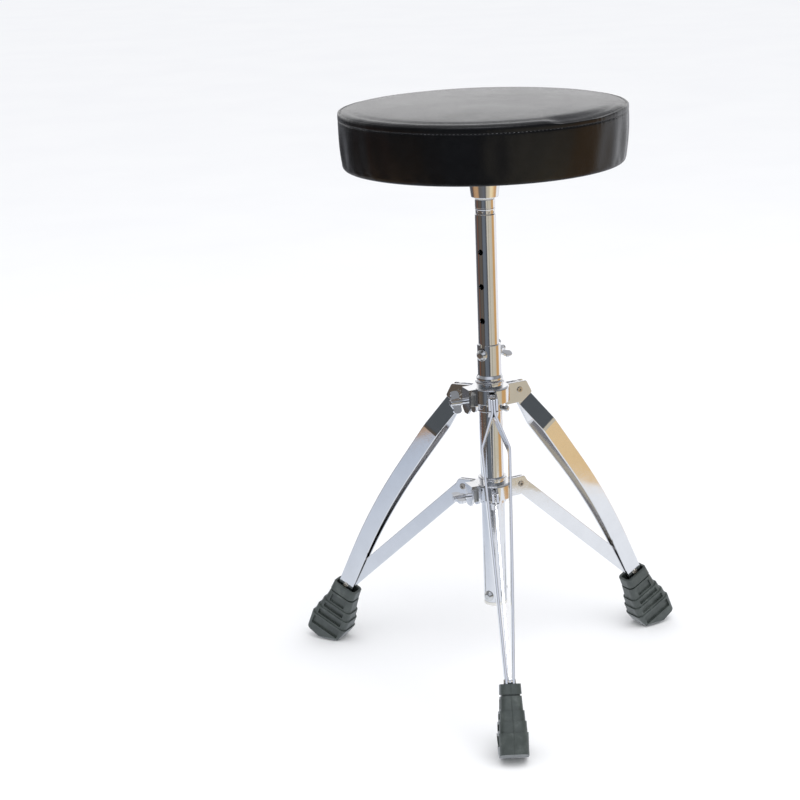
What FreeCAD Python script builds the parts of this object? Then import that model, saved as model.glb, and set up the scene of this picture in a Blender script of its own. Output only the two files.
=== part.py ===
import FreeCAD, Part
import os
from math import atan2, cos, degrees, pi, radians, sin, sqrt, tan

# Drum throne: a round padded seat that swivels on a height-adjustable post, carried by a
# folding tripod of three double-strip legs with single braces. Millimetres, +Z up.
# The origin is on the floor under the post. The front leg points along -Y.

V = FreeCAD.Vector
UP = V(0, 0, 1)
ORIGIN = V(0, 0, 0)

# --- driving dimensions -------------------------------------------------------------
FIT = 0.08                 # radial clearance of a running fit
LEG_AZIMUTHS = {"front": -90.0, "right": 30.0, "left": 150.0}

# seat
SEAT_R = 150.0             # radius at the sewn seam
SEAT_BOTTOM_R = 147.0      # radius at the bottom edge
SEAM_Z = 623.3
RIM_Z = 633.0              # top of the rounded rim
CROWN_Z = 636.5            # middle of the seat
SEAT_BASE_Z = 573.0        # underside of the board
SKIN = 1.0                 # vinyl thickness
BOARD_R = 141.5
BOARD_THICK = 12.0
RETURN_R = 116.0           # inner radius of the vinyl folded under the board
DUST_R = 127.0
DUST_HOLE_R = 62.0
STAPLES = 24
STAPLE_RING_R = 122.0

# seat bracket
PLATE_SIZE = 84.0
PLATE_THICK = 3.0
PLATE_SCREW_AT = 31.0      # screws stand at +-this in X and Y
CUP_Z = 536.4              # mouth of the tapered cup
CUP_MOUTH_R = 14.3
CUP_TOP_R = 18.2
BUSH_R = 9.0
BUSH_TOP_Z = 562.0

# post: the inner tube, its crimped spindle and the locking bolt
SPINDLE_R = 6.0
SPINDLE_TOP_Z = 568.0
COLLAR_R = 10.6            # spindle's shoulder on top of the tube
COLLAR_Z = (524.8, 534.7)
POST_R = 11.0
POST_BORE_R = 9.4
POST_BOTTOM_Z = 270.0
HOLE_PITCH = 37.3
LOCK_Z = 366.9             # the hole that the locking bolt is in
HOLES_ABOVE = 3
HOLES_BELOW = 2
HOLE_R = 3.3
LOCK_AZIMUTH = 231.0       # the bolt's head faces this way, its wing nut the other
BOLT_R = 3.0

# base tube
TUBE_R = 12.7
TUBE_BORE_R = POST_R + FIT
TUBE_TOP_Z = 377.5
TUBE_BOTTOM_Z = 83.0
BEAD_Z = 340.4
BEAD_R = 14.2
STOP_BOLT_Z = 90.5
LOCK_SCREW_Z = 306.6       # screw that keeps the upper collar from slipping
LOCK_SCREW_AZIMUTH = 331.0
LOCK_SCREW_R = 2.5

# collars: one stamped collar fixed to the tube, one that slides on it
UPPER_PIVOT = (35.0, 320.5)
LOWER_PIVOT = (35.0, 212.0)
COLLAR_BORE_R = TUBE_R + FIT
SLEEVE_R = 14.5
WALL_R = 21.0
SHEET = 2.3
EAR_THICK = 2.4
EAR_PLAY = 0.2             # side play of a strip between its ears
CLAMP_AZIMUTH = 201.0
LUG_WIDTH = 18.0
LUG_OUT_R = 29.0
SCREW_R = 3.0

# legs
STRIP_WIDTH = 18.8
STRIP_THICK = 2.6
PINCH_GAP = 0.05           # each strip's distance from the leg's middle at its top
LEG_ANGLES = (35.8, 26.2)  # slope from the vertical, above and below the bow
BOW_FROM = 115.0           # the bow starts and ends at these lengths from the pivot
BOW_TO = 248.0
PINCH_TO = 14.5            # the two strips lie together up to here
SPREAD_AT = 52.5           # and stand furthest apart here
SPREAD_HALF = 15.9
FOOT_HALF = 5.0            # outer faces' distance from the leg's middle at the foot pin
PIN_AT = 296.0             # foot pin's length from the pivot
STRIP_TAIL = 22.0
CREASE_R = 14.0

# rubber feet
HEEL_X = 204.0             # the flat of the sole, as distances from the post
TOE_X = 222.0
SOLE_HALF = 11.0           # the flat's half width
# each tier: depth below the mouth, inner side, outer side and half width, at its top and bottom
FOOT_TIERS = [
    ((1.5, -16.4, 14.4, 10.6), (12.0, -17.1, 15.0, 11.0)),
    ((12.0, -15.2, 13.0, 9.6), (13.8, -15.2, 13.0, 9.6)),
    ((13.8, -17.8, 14.6, 10.9), (28.5, -20.0, 16.4, 11.6)),
    ((28.5, -21.4, 18.0, 12.7), (39.0, -22.4, 19.2, 13.0)),
    ((39.0, -23.8, 20.8, 14.0), (50.5, -24.2, 21.6, 14.2)),
    ((50.5, -25.4, 23.2, 15.2), (80.0, -19.0, 21.2, 14.8)),
]

# braces
BRACE_WIDTH = 16.0
BRACE_THICK = 2.5
BRACE_SLOT_R = 3.1         # slot for the foot pin, which slides inward along it
BRACE_SLOT_RUN = 7.3       # while the tripod folds

RIVET_R = 2.46
PIN_R = 2.0


# --- helpers --------------------------------------------------------------------------
def azimuth(degrees_round):
    a = radians(degrees_round)
    return V(cos(a), sin(a), 0)


def rod(radius, start, direction, length):
    return Part.makeCylinder(radius, length, start, direction)


def ring(inner, outer, low, high):
    outside = rod(outer, V(0, 0, low), UP, high - low)
    return outside.cut(rod(inner, V(0, 0, low - 1), UP, high - low + 2))


def block(x, y, z):
    """A box from three (low, high) pairs."""
    corner = V(x[0], y[0], z[0])
    return Part.makeBox(x[1] - x[0], y[1] - y[0], z[1] - z[0], corner)


def outline(points, place):
    """A closed wire through (u, v) or (u, v, corner radius), set in space by place(u, v)."""
    count = len(points)
    edges = []
    ends = []
    for i in range(count):
        u, v = points[i][:2]
        radius = points[i][2] if len(points[i]) > 2 else 0
        here = V(u, v, 0)
        if not radius:
            ends.append((here, None, here))
            continue
        before = (V(*points[i - 1][:2], 0) - here).normalize()
        after = (V(*points[(i + 1) % count][:2], 0) - here).normalize()
        half = before.getAngle(after) / 2
        reach = radius / tan(half)
        bisector = (before + after).normalize()
        middle = here + bisector * (radius / sin(half) - radius)
        ends.append((here + before * reach, middle, here + after * reach))
    for i in range(count):
        start, middle, end = ends[i]
        if middle:
            points3 = [place(p.x, p.y) for p in (start, middle, end)]
            edges.append(Part.Arc(*points3).toShape())
        following = ends[(i + 1) % count][0]
        if (following - end).Length > 1e-6:
            edges.append(Part.makeLine(place(end.x, end.y), place(following.x, following.y)))
    return Part.Wire(edges)


def slab(points, place, along):
    """The outline's face, swept along a vector."""
    return Part.Face(outline(points, place)).extrude(along)


def turned(points):
    """A solid of revolution about Z from (radius, z, corner radius) points."""
    face = Part.Face(outline(points, lambda r, z: V(r, 0, z)))
    return face.revolve(ORIGIN, UP, 360)


def radial_slab(points, side_low, side_high):
    """A plate in the radial plane of azimuth 0, between two distances to its side."""
    return slab(points, lambda r, z: V(r, side_low, z), V(0, side_high - side_low, 0))


def face_slab(points, low, high, level):
    """A plate that faces along +X at azimuth 0, with (side, height) points about a level."""
    return slab(points, lambda y, z: V(low, y, level + z), V(high - low, 0, 0))


def turn(shape, angle):
    moved = shape.copy()
    moved.rotate(ORIGIN, UP, angle)
    return moved


def fuse(shapes):
    first, rest = shapes[0], shapes[1:]
    return first.fuse(rest).removeSplitter()


def softened(shape, radius, chosen):
    """Rounds the edges that chosen(edge) picks, and keeps the shape if that fails."""
    edges = [edge for edge in shape.Edges if chosen(edge)]
    try:
        rounded = shape.makeFillet(radius, edges)
    except Part.OCCError:
        return shape
    return rounded if rounded.isValid() and rounded.Solids else shape


def save(name, shape):
    solids = shape.Solids
    kept = solids[0] if len(solids) == 1 else Part.makeCompound(solids)
    kept.exportStep("parts/" + name + ".step")
    box = kept.BoundBox
    print(f"{name:26s} solids {len(solids):2d} valid {kept.isValid()} volume {kept.Volume:10.1f}"
          f"  z {box.ZMin:7.2f} {box.ZMax:7.2f}")


# --- seat -----------------------------------------------------------------------------
def dome_ring(radius, rim_z, crown_z):
    """The crowned top: an arc from the middle to the rim, as (middle, halfway, rim)."""
    rise = crown_z - rim_z
    sphere_r = (radius ** 2 + rise ** 2) / (2 * rise)
    half = radius / 2
    return V(0, 0, crown_z), V(half, 0, crown_z - sphere_r + sqrt(sphere_r ** 2 - half ** 2)), \
        V(radius, 0, rim_z)


def cushion_body(inset, low):
    """The cushion's closed form, inset by a thickness, down to a low level."""
    rim_r = SEAT_R - 9.0
    crown, halfway, rim = dome_ring(rim_r, RIM_Z - inset, CROWN_Z - inset)
    seam = V(SEAT_R - inset, 0, SEAM_Z)
    shoulder = V(SEAT_R - inset - 2.9, 0, RIM_Z - 2.7 - inset * 0.7)
    bottom = V(SEAT_BOTTOM_R - inset, 0, low + 4.0)
    corner = V(SEAT_BOTTOM_R - inset - 1.2, 0, low + 1.2)
    under = V(SEAT_BOTTOM_R - inset - 4.0, 0, low)
    edges = [
        Part.Arc(crown, halfway, rim).toShape(),
        Part.Arc(rim, shoulder, seam).toShape(),
        Part.makeLine(seam, bottom),
        Part.Arc(bottom, corner, under).toShape(),
        Part.makeLine(under, V(0, 0, low)),
        Part.makeLine(V(0, 0, low), crown),
    ]
    return Part.Face(Part.Wire(edges)).revolve(ORIGIN, UP, 360)


def seat_parts():
    fold_z = SEAT_BASE_Z - SKIN
    whole = cushion_body(0, fold_z)
    inside = cushion_body(SKIN, SEAT_BASE_Z)
    opening = rod(RETURN_R, V(0, 0, fold_z - 1), UP, SKIN + 2)
    save("seat_cover", whole.cut(inside).cut(opening))

    board_top = SEAT_BASE_Z + BOARD_THICK
    board = rod(BOARD_R, V(0, 0, SEAT_BASE_Z), UP, BOARD_THICK)
    foam = inside.cut(board)
    spindle_room = rod(12.0, V(0, 0, SEAT_BASE_Z - 1), UP, 5)
    board = board.cut(spindle_room)
    tee_nuts = []
    screws = []
    for x in (-PLATE_SCREW_AT, PLATE_SCREW_AT):
        for y in (-PLATE_SCREW_AT, PLATE_SCREW_AT):
            at = V(x, y, 0)
            flange_z = board_top - 1.2
            pocket = rod(9.05, at + UP * flange_z, UP, 2)
            barrel_hole = rod(4.05, at + UP * (SEAT_BASE_Z - 1), UP, BOARD_THICK + 2)
            board = board.cut(pocket).cut(barrel_hole)
            flange = rod(9.0, at + UP * flange_z, UP, 1.2)
            barrel = rod(4.0, at + UP * (board_top - 9), UP, 9)
            thread = rod(SCREW_R + 0.05, at + UP * (board_top - 10), UP, 11)
            tee_nuts.append(flange.fuse(barrel).cut(thread))
            screws.append(pan_screw(at + UP * (SEAT_BASE_Z - PLATE_THICK), UP, SCREW_R, 14.0))
    save("seat_board", board)
    save("seat_foam", foam)
    save("board_tee_nuts", Part.makeCompound(tee_nuts))
    save("seat_mount_screws", Part.makeCompound(screws))

    dust_top = fold_z
    save("seat_dust_cover", ring(DUST_HOLE_R, DUST_R, dust_top - 0.6, dust_top))
    staples = []
    for i in range(STAPLES):
        crown = block((-0.45, 0.45), (-5, 5), (dust_top - 1.3, dust_top - 0.6))
        legs = [block((-0.45, 0.45), (y - 0.3, y + 0.3), (dust_top - 1.3, dust_top + 4))
                for y in (-4.7, 4.7)]
        staple = fuse([crown] + legs)
        staple.translate(V(STAPLE_RING_R, 0, 0))
        staples.append(turn(staple, 360.0 * (i + 0.5) / STAPLES))
    save("seat_staples", Part.makeCompound(staples))


def pan_screw(seat_point, direction, radius, length):
    """A pan-head screw whose head's underside is at seat_point, shank along direction."""
    head_r = radius * 1.85
    head_h = radius * 1.1
    profile = [(0, -head_h), (head_r, -head_h, head_h * 0.55), (head_r, 0), (radius, 0),
               (radius, length, 0.4), (0, length)]
    slot = cross_recess(radius, head_h)
    screw = turned(profile).cut(slot)
    return aimed(screw, seat_point, direction)


def cross_recess(radius, head_h):
    arm = radius * 1.1
    bars = [block((-arm, arm), (-0.45, 0.45), (-head_h - 1, -head_h + 1.2)),
            block((-0.45, 0.45), (-arm, arm), (-head_h - 1, -head_h + 1.2))]
    return fuse(bars)


def aimed(shape, point, direction):
    """Moves a shape built on +Z at the origin to a point, with +Z along a direction."""
    moved = shape.copy()
    moved.Placement = FreeCAD.Placement(point, FreeCAD.Rotation(UP, direction))
    return moved


def bracket_parts():
    half = PLATE_SIZE / 2
    low = SEAT_BASE_Z - PLATE_THICK
    corners = [(-half, -half, 12), (half, -half, 12), (half, half, 12), (-half, half, 12)]
    plate = slab(corners, lambda x, y: V(x, y, low), UP * PLATE_THICK)
    plate = plate.cut(rod(12.0, V(0, 0, low - 1), UP, PLATE_THICK + 2))
    for x in (-PLATE_SCREW_AT, PLATE_SCREW_AT):
        for y in (-PLATE_SCREW_AT, PLATE_SCREW_AT):
            plate = plate.cut(rod(SCREW_R + 0.3, V(x, y, low - 1), UP, PLATE_THICK + 2))
    save("seat_mount_plate", plate)

    cup = turned([
        (BUSH_R, CUP_Z), (CUP_MOUTH_R, CUP_Z, 1.2), (CUP_TOP_R, low - 2.5, 2.0),
        (CUP_TOP_R + 5, low - 2.5, 1.0), (CUP_TOP_R + 5, low),
        (12.0, low), (12.0, BUSH_TOP_Z), (BUSH_R, BUSH_TOP_Z)])
    save("seat_socket", cup)
    bush = turned([
        (SPINDLE_R + FIT, COLLAR_Z[1] + 0.1), (COLLAR_R - 0.2, COLLAR_Z[1] + 0.1, 0.4),
        (COLLAR_R - 0.2, CUP_Z), (BUSH_R, CUP_Z), (BUSH_R, BUSH_TOP_Z),
        (SPINDLE_R + FIT, BUSH_TOP_Z)])
    save("swivel_bush", bush)


# --- post -----------------------------------------------------------------------------
def post_parts():
    clip_z = BUSH_TOP_Z + 1.5
    spindle = turned([
        (0, COLLAR_Z[0] - 22), (POST_BORE_R, COLLAR_Z[0] - 22, 1.5), (POST_BORE_R, COLLAR_Z[0]),
        (COLLAR_R, COLLAR_Z[0], 0.8), (COLLAR_R, COLLAR_Z[1], 0.8),
        (SPINDLE_R, COLLAR_Z[1]), (SPINDLE_R, clip_z), (SPINDLE_R - 1, clip_z),
        (SPINDLE_R - 1, clip_z + 1.1), (SPINDLE_R, clip_z + 1.1), (SPINDLE_R, SPINDLE_TOP_Z, 1.0),
        (0, SPINDLE_TOP_Z)])
    save("swivel_spindle", spindle)
    save("spindle_washer", ring(SPINDLE_R + 0.05, BUSH_R + 1.5, BUSH_TOP_Z + 0.1, clip_z - 0.1))
    clip = ring(SPINDLE_R - 1, BUSH_R, clip_z + 0.05, clip_z + 1.05)
    gap = block((0, 20), (-3.2, 3.2), (clip_z - 1, clip_z + 2))
    save("spindle_clip", clip.cut(gap))

    groove_z = (COLLAR_Z[0] - 6.6, COLLAR_Z[0] - 0.8)
    groove_r = POST_R - 0.75
    tube = turned([
        (POST_BORE_R, POST_BOTTOM_Z), (POST_R, POST_BOTTOM_Z, 0.5), (POST_R, groove_z[0], 0.7),
        (groove_r, groove_z[0] + 0.8, 0.7), (groove_r, groove_z[1] - 0.8, 0.7),
        (POST_R - 0.3, groove_z[1], 0.3), (POST_R - 0.3, COLLAR_Z[0]), (POST_BORE_R, COLLAR_Z[0])])
    for i in range(10):
        dimple = Part.makeSphere(1.5, azimuth(36 * i) * (groove_r + 0.95)
                                 + UP * (groove_z[0] + groove_z[1]) / 2)
        tube = tube.cut(dimple)
    across = azimuth(LOCK_AZIMUTH)
    for i in range(-HOLES_BELOW, HOLES_ABOVE + 1):
        level = LOCK_Z + i * HOLE_PITCH
        tube = tube.cut(rod(HOLE_R, across * -20 + UP * level, across, 40))
    save("post_tube", tube)
    cap = turned([
        (0, POST_BOTTOM_Z - 2), (POST_R - 0.3, POST_BOTTOM_Z - 2, 0.8),
        (POST_R - 0.3, POST_BOTTOM_Z), (POST_BORE_R - 0.02, POST_BOTTOM_Z),
        (POST_BORE_R - 0.02, POST_BOTTOM_Z + 10, 1), (0, POST_BOTTOM_Z + 10)])
    save("post_end_cap", cap)

    head_gap = TUBE_R + 0.3
    bolt = turned([
        (0, -4.2), (3.4, -4.2, 2.4), (6.3, -1.2, 0.6), (6.3, 0), (BOLT_R, 0),
        (BOLT_R, 2 * head_gap + 14.5, 0.8), (0, 2 * head_gap + 14.5)])
    save("height_bolt", aimed(bolt, across * head_gap + UP * LOCK_Z, across * -1))

    outward = across * -1
    washer = ring(BOLT_R + FIT, 7.0, 0, 1.2)
    save("height_washer", aimed(washer, outward * (TUBE_R + 0.3) + UP * LOCK_Z, outward))
    nut = wing_head(boss_r=5.0, boss_length=9.5, bore_r=BOLT_R + FIT, tip_at=14.5, reach=13.0)
    nut.rotate(ORIGIN, UP, 40)
    save("height_wing_nut", aimed(nut, outward * (TUBE_R + 1.6) + UP * LOCK_Z, outward))


def wing_head(boss_r, boss_length, bore_r, tip_at, reach):
    """A boss along +Z from the origin with two wings in the X-Z plane that lean outward."""
    boss = turned([(0, 0), (boss_r, 0, 0.6), (boss_r * 0.8, boss_length, 1.0), (0, boss_length)])
    wings = []
    for side in (1, -1):
        blade = [(0, 1.0), (side * boss_r, 1.6), (side * reach * 0.97, tip_at - 7.5, 3.6),
                 (side * reach, tip_at + 3, 3.6), (side * reach * 0.52, tip_at + 1.4, 3.0),
                 (side * boss_r * 0.7, boss_length - 0.6, 0.5), (0, boss_length - 0.6)]
        plate = slab(blade, lambda x, z: V(x, -1.5, z), V(0, 3, 0))
        wings.append(softened(plate, 0.8, lambda edge: abs(edge.CenterOfMass.x) > boss_r * 1.05
                              and abs(abs(edge.CenterOfMass.y) - 1.5) < 0.01))
    head = fuse([boss] + wings)
    if bore_r:
        head = head.cut(rod(bore_r, V(0, 0, -1), UP, boss_length + 2))
    return head


# --- base tube ------------------------------------------------------------------------
def base_tube_parts():
    tube = turned([
        (TUBE_BORE_R, TUBE_BOTTOM_Z), (TUBE_R, TUBE_BOTTOM_Z, 0.5), (TUBE_R, BEAD_Z - 2.6, 0.4),
        (BEAD_R, BEAD_Z - 1.8, 0.6), (BEAD_R, BEAD_Z + 0.4, 0.9), (TUBE_R, BEAD_Z + 3.4, 1.0),
        (TUBE_R, TUBE_TOP_Z, 0.5), (TUBE_BORE_R, TUBE_TOP_Z, 0.3)])
    across = azimuth(LOCK_AZIMUTH)
    slot_r = BOLT_R + 0.3
    seat_z = LOCK_Z + slot_r - BOLT_R - 0.02
    slot = rod(slot_r, across * -20 + UP * seat_z, across, 40)
    opening = block((-20, 20), (-slot_r, slot_r), (seat_z, TUBE_TOP_Z + 5))
    tube = tube.cut(slot).cut(turn(opening, LOCK_AZIMUTH))
    tube = tube.cut(rod(2.6, across * -20 + UP * STOP_BOLT_Z, across, 40))
    lock_way = azimuth(LOCK_SCREW_AZIMUTH)
    tube = tube.cut(rod(LOCK_SCREW_R + 0.05, UP * LOCK_SCREW_Z, lock_way, 20))
    save("base_tube", tube)

    plug = turned([
        (0, TUBE_BOTTOM_Z - 4), (TUBE_R, TUBE_BOTTOM_Z - 4, 1.2), (TUBE_R, TUBE_BOTTOM_Z),
        (TUBE_BORE_R - 0.02, TUBE_BOTTOM_Z), (TUBE_BORE_R - 0.02, TUBE_BOTTOM_Z + 3.5, 0.8),
        (0, TUBE_BOTTOM_Z + 3.5)])
    save("tube_end_plug", plug)
    bolt = turned([
        (0, -3.8), (3.2, -3.8, 2.0), (5.8, -1.0, 0.5), (5.8, 0), (2.5, 0),
        (2.5, 2 * TUBE_R + 7.5, 0.5), (0, 2 * TUBE_R + 7.5)])
    save("tube_stop_bolt", aimed(bolt, across * (TUBE_R + 0.05) + UP * STOP_BOLT_Z, across * -1))
    nut = hex_nut(4.0, 4.0, 2.55)
    save("tube_stop_nut", aimed(nut, across * -(TUBE_R + 0.1) + UP * STOP_BOLT_Z, across * -1))

    screw = turned([
        (0, 0), (LOCK_SCREW_R, 0, 0.3), (LOCK_SCREW_R, 6.2), (3.4, 6.2, 0.6), (3.4, 10.2, 1.8),
        (0, 10.2)])
    save("collar_lock_screw", aimed(screw, lock_way * (TUBE_BORE_R + 0.2) + UP * LOCK_SCREW_Z,
                                    lock_way))


def hex_nut(half_flat, height, bore_r):
    corner = half_flat / cos(pi / 6)
    points = [(corner * cos(radians(60 * i)), corner * sin(radians(60 * i))) for i in range(6)]
    prism = slab(points, lambda x, y: V(x, y, 0), UP * height)
    crowned = turned([(0, 0), (corner, 0, 0.5), (corner, height, 0.5), (0, height)])
    return prism.common(crowned).cut(rod(bore_r, V(0, 0, -1), UP, height + 2))


# --- collars --------------------------------------------------------------------------
def collar(pivot, ear_outline, gap_half, top, sleeve_bottom, wall_bottom, neck_top):
    """A stamped collar: neck, top plate, sleeve, wall with three pairs of ears, clamp lug."""
    neck = turned([
        (COLLAR_BORE_R, sleeve_bottom), (SLEEVE_R, sleeve_bottom, 0.7), (SLEEVE_R, neck_top - 2.6, 0.5),
        (SLEEVE_R + 1.1, neck_top - 2.0, 0.5), (SLEEVE_R + 1.1, neck_top, 0.9),
        (COLLAR_BORE_R, neck_top, 0.5)])
    shell = turned([
        (COLLAR_BORE_R + 0.5, top - SHEET), (WALL_R - SHEET, top - SHEET, 1.0),
        (WALL_R - SHEET, wall_bottom), (WALL_R, wall_bottom, 0.5), (WALL_R, top, 2.2),
        (COLLAR_BORE_R + 0.5, top)])
    body = fuse([neck, shell])
    gap = block((SLEEVE_R + 1, WALL_R + 4), (-gap_half, gap_half), (wall_bottom - 20, top - SHEET))
    for angle in LEG_AZIMUTHS.values():
        body = body.cut(turn(gap, angle))
    ears = []
    for angle in LEG_AZIMUTHS.values():
        for side in (1, -1):
            inner, outer = gap_half * side, (gap_half + EAR_THICK) * side
            ear = radial_slab(ear_outline, min(inner, outer), max(inner, outer))
            ear = softened(ear, 0.4, lambda edge: edge.CenterOfMass.x > WALL_R + 1
                           and abs(abs(edge.CenterOfMass.y) - gap_half - EAR_THICK) < 0.01)
            hole = rod(RIVET_R + 0.02, V(pivot[0], -20, pivot[1]), V(0, 1, 0), 40)
            ears.append(turn(ear.cut(hole), angle))
    clamp = turn(clamp_lug(top, sleeve_bottom, clamp_level(pivot)), CLAMP_AZIMUTH)
    bore = rod(COLLAR_BORE_R, V(0, 0, sleeve_bottom - 5), UP, neck_top - sleeve_bottom + 10)
    way = azimuth(CLAMP_AZIMUTH)
    shoe_room = rod(4.2, UP * clamp_level(pivot), way, WALL_R - SHEET + 0.2)
    thread = rod(SCREW_R + FIT, UP * clamp_level(pivot), way, 40)
    return fuse([body, clamp] + ears).cut(bore).cut(shoe_room).cut(thread)


def clamp_level(pivot):
    return pivot[1] - 3.0


def clamp_lug(top, bottom, level):
    """Two upright plates under a roof, which hold the clamp nut between them."""
    half = LUG_WIDTH / 2
    drop = level - bottom
    rise = top - level
    inner = face_slab([(-half, rise - 0.4), (-half, -drop, half - 0.1), (half, -drop, half - 0.1),
                       (half, rise - 0.4)], WALL_R - SHEET, WALL_R, level)
    outer = face_slab([(-half, rise - 0.4), (-half, -drop + 5), (-half + 5, -drop),
                       (half - 5, -drop), (half, -drop + 5), (half, rise - 0.4)],
                      LUG_OUT_R - SHEET, LUG_OUT_R, level)
    roof = block((WALL_R - 5, LUG_OUT_R), (-half, half), (top - SHEET, top))
    return fuse([inner, outer, roof])


def clamp_parts(prefix, pivot, wing_turn):
    """The clamp nut in the lug, the shoe on the tube and the wing screw behind it."""
    way = azimuth(CLAMP_AZIMUTH)
    level = clamp_level(pivot)
    nut_half = 6.3
    thickness = LUG_OUT_R - SHEET - WALL_R - 0.2
    nut = face_slab([(-nut_half, -nut_half, 1), (nut_half, -nut_half, 1), (nut_half, nut_half, 1),
                     (-nut_half, nut_half, 1)], WALL_R + 0.1, WALL_R + 0.1 + thickness, level)
    nut = nut.cut(rod(SCREW_R + FIT, V(0, 0, level), V(1, 0, 0), 40))
    save(prefix + "_clamp_nut", turn(nut, CLAMP_AZIMUTH))
    shoe_at = TUBE_R + 0.12
    shoe = turned([(0, 0), (3.9, 0, 0.3), (3.9, 1.9, 0.4), (0, 1.9)])
    save(prefix + "_clamp_shoe", aimed(shoe, way * shoe_at + UP * level, way))
    tip = shoe_at + 2.0
    shank = turned([(0, 0), (SCREW_R, 0, 0.6), (SCREW_R, LUG_OUT_R + 7 - tip),
                    (0, LUG_OUT_R + 7 - tip)])
    head = wing_head(boss_r=4.3, boss_length=13.0, bore_r=0, tip_at=9.0, reach=12.6)
    head.rotate(ORIGIN, UP, wing_turn)
    head.translate(UP * (LUG_OUT_R + 5.5 - tip))
    save(prefix + "_wing_screw", aimed(fuse([shank, head]), way * tip + UP * level, way))


def collar_parts():
    upper_ear = [(17.5, 306.3), (38.5, 306.5), (51.5, 315.3, 2.5), (44.2, 329.4, 3), (17.5, 329.9)]
    lower_ear = [(17.5, 200.3), (33.5, 199.6, 2), (46.2, 210.2, 3), (40.0, 220.4, 2.5), (17.5, 220.6)]
    upper_gap = STRIP_THICK + PINCH_GAP + EAR_PLAY
    lower_gap = BRACE_THICK / 2 + EAR_PLAY
    upper = collar(UPPER_PIVOT, upper_ear, upper_gap, 331.0, 303.5, 313.9, 337.4)
    lock_way = azimuth(LOCK_SCREW_AZIMUTH)
    save("upper_collar", upper.cut(rod(LOCK_SCREW_R + 0.05, UP * LOCK_SCREW_Z, lock_way, 20)))
    save("lower_collar", collar(LOWER_PIVOT, lower_ear, lower_gap, 222.0, 198.5, 205.0, 228.4))
    clamp_parts("upper", UPPER_PIVOT, 45.0)
    clamp_parts("lower", LOWER_PIVOT, 105.0)
    save("upper_leg_rivets", rivets(UPPER_PIVOT, upper_gap + EAR_THICK))
    save("lower_brace_rivets", rivets(LOWER_PIVOT, lower_gap + EAR_THICK))


def rivets(pivot, half_grip):
    group = []
    for angle in LEG_AZIMUTHS.values():
        group.append(turn(hollow_rivet(pivot, half_grip, RIVET_R, 3.6), angle))
    return Part.makeCompound(group)


def hollow_rivet(pivot, half_grip, radius, head_r):
    """A tubular rivet across the radial plane at azimuth 0, with two rolled heads."""
    end = half_grip + 1.1
    profile = [(0, -end), (head_r * 0.9, -end, 0.5), (head_r, -half_grip - 0.05), (radius, -half_grip - 0.05),
               (radius, half_grip + 0.05), (head_r, half_grip + 0.05), (head_r * 0.9, end, 0.5), (0, end)]
    rivet = turned(profile)
    dimple = radius * 0.62
    for side in (1, -1):
        start = V(0, 0, side * (end + 1))
        rivet = rivet.cut(rod(dimple, start, UP * -side, 2.4))
    return aimed(rivet, V(pivot[0], 0, pivot[1]), V(0, 1, 0))


# --- legs -----------------------------------------------------------------------------
def leg_point(length, out=0.0):
    """A point of a leg's middle line at azimuth 0, as (radius, z), moved outward by out."""
    top, foot = (radians(a) for a in LEG_ANGLES)
    bow_r = (BOW_TO - BOW_FROM) / (top - foot)
    straight = min(length, BOW_FROM)
    r = UPPER_PIVOT[0] + straight * sin(top)
    z = UPPER_PIVOT[1] - straight * cos(top)
    slope = top
    if length > BOW_FROM:
        slope = top - (min(length, BOW_TO) - BOW_FROM) / bow_r
        r += bow_r * (cos(slope) - cos(top))
        z -= bow_r * (sin(top) - sin(slope))
    if length > BOW_TO:
        r += (length - BOW_TO) * sin(foot)
        z -= (length - BOW_TO) * cos(foot)
    return V(r + out * cos(slope), 0, z + out * sin(slope))


def strip_side():
    """The strip's shape seen from the side: two straight runs joined by the bow."""
    half = STRIP_WIDTH / 2
    end = PIN_AT + STRIP_TAIL
    bow_middle = (BOW_FROM + BOW_TO) / 2
    top_mid = leg_point(0) - (leg_point(10) - leg_point(0)) * (half / 10)
    corner = 4.0
    turn_in = corner * (1 - sin(pi / 4))
    edges = [Part.makeLine(leg_point(0, half), leg_point(BOW_FROM, half))]
    edges.append(Part.Arc(leg_point(BOW_FROM, half), leg_point(bow_middle, half),
                          leg_point(BOW_TO, half)).toShape())
    edges.append(Part.makeLine(leg_point(BOW_TO, half), leg_point(end - corner, half)))
    edges.append(Part.Arc(leg_point(end - corner, half), leg_point(end - turn_in, half - turn_in),
                          leg_point(end, half - corner)).toShape())
    edges.append(Part.makeLine(leg_point(end, half - corner), leg_point(end, corner - half)))
    edges.append(Part.Arc(leg_point(end, corner - half), leg_point(end - turn_in, turn_in - half),
                          leg_point(end - corner, -half)).toShape())
    edges.append(Part.makeLine(leg_point(end - corner, -half), leg_point(BOW_TO, -half)))
    edges.append(Part.Arc(leg_point(BOW_TO, -half), leg_point(bow_middle, -half),
                          leg_point(BOW_FROM, -half)).toShape())
    edges.append(Part.makeLine(leg_point(BOW_FROM, -half), leg_point(0, -half)))
    edges.append(Part.Arc(leg_point(0, -half), top_mid, leg_point(0, half)).toShape())
    return Part.Wire(edges)


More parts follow.
